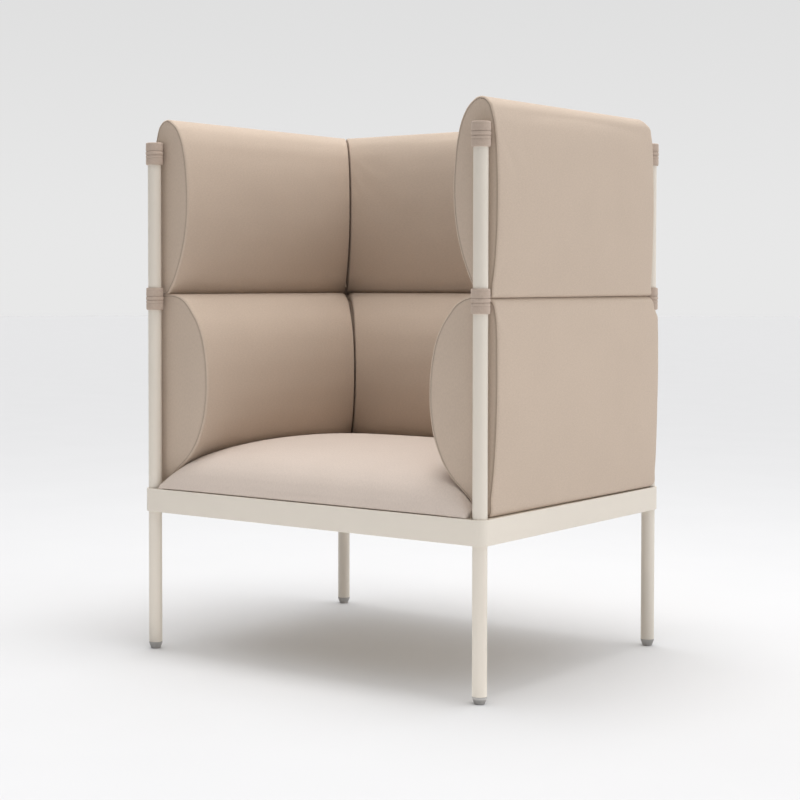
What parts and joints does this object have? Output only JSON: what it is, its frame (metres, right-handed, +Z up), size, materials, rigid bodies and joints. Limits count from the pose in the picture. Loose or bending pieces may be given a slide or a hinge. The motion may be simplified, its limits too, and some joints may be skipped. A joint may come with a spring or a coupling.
{
  "type": "high back lounge chair",
  "caption": "High back lounge chair: tube posts and a flat seat band carry a domed seat and two tiers of padded wall cushions, held by fabric sleeves, on levelling glides.",
  "frame": {"origin": "on the floor, midway between the axes of the four posts", "axes": "+Z up, -Y out of the open front of the chair, +X to the right for a viewer who faces the front"},
  "size_m": [0.928, 0.7598, 1.199],
  "materials": {
    "frame_paint": "satin powder coat, cream",
    "cushion_fabric": "fine plain weave, beige",
    "strap_fabric": "ribbed webbing, beige",
    "glide_plastic": "matt, mid grey",
    "cap_plastic": "matt, cream",
    "steel": "zinc plated",
    "plywood": "raw birch plywood"
  },
  "bodies": {
    "chair": {"post_front_left": "frame_paint", "post_front_right": "frame_paint", "post_back_left": "frame_paint", "post_back_right": "frame_paint", "rail_front": "frame_paint", "rail_back": "frame_paint", "rail_left": "frame_paint", "rail_right": "frame_paint", "rail_corner_front_left": "frame_paint", "rail_corner_front_right": "frame_paint", "rail_corner_back_left": "frame_paint", "rail_corner_back_right": "frame_paint", "cross_bar_left": "frame_paint", "cross_bar_right": "frame_paint", "corner_gussets": "frame_paint", "post_cap_front_left": "cap_plastic", "post_cap_front_right": "cap_plastic", "post_cap_back_left": "cap_plastic", "post_cap_back_right": "cap_plastic", "leg_insert_front_left": "steel", "leg_insert_front_right": "steel", "leg_insert_back_left": "steel", "leg_insert_back_right": "steel", "seat_deck": "plywood", "deck_screws": "steel", "panel_screws": "steel", "panel_dowels": "steel", "lower_core_left": "plywood", "lower_core_right": "plywood", "lower_core_back": "plywood", "upper_core_left": "plywood", "upper_core_right": "plywood", "upper_core_back": "plywood", "lower_cushion_left": "cushion_fabric", "lower_cushion_right": "cushion_fabric", "lower_cushion_back": "cushion_fabric", "upper_cushion_left": "cushion_fabric", "upper_cushion_right": "cushion_fabric", "upper_cushion_back": "cushion_fabric", "seat_cushion": "cushion_fabric", "strap_top_front_left": "strap_fabric", "strap_top_front_right": "strap_fabric", "strap_top_back_left": "strap_fabric", "strap_top_back_right": "strap_fabric", "strap_mid_front_left": "strap_fabric", "strap_mid_front_right": "strap_fabric", "strap_mid_back_left": "strap_fabric", "strap_mid_back_right": "strap_fabric"},
    "glide_front_left": {"glide_foot_front_left": "glide_plastic", "glide_stud_front_left": "steel"},
    "glide_front_right": {"glide_foot_front_right": "glide_plastic", "glide_stud_front_right": "steel"},
    "glide_back_left": {"glide_foot_back_left": "glide_plastic", "glide_stud_back_left": "steel"},
    "glide_back_right": {"glide_foot_back_right": "glide_plastic", "glide_stud_back_right": "steel"}
  },
  "joints": [
    {"name": "glide_front_left_level", "type": "slide", "parent": "chair", "child": "glide_front_left", "axis": [0, 0, -1], "range_m": [0, 0.012]},
    {"name": "glide_front_right_level", "type": "slide", "parent": "chair", "child": "glide_front_right", "axis": [0, 0, -1], "range_m": [0, 0.012]},
    {"name": "glide_back_left_level", "type": "slide", "parent": "chair", "child": "glide_back_left", "axis": [0, 0, -1], "range_m": [0, 0.012]},
    {"name": "glide_back_right_level", "type": "slide", "parent": "chair", "child": "glide_back_right", "axis": [0, 0, -1], "range_m": [0, 0.012]}
  ]
}
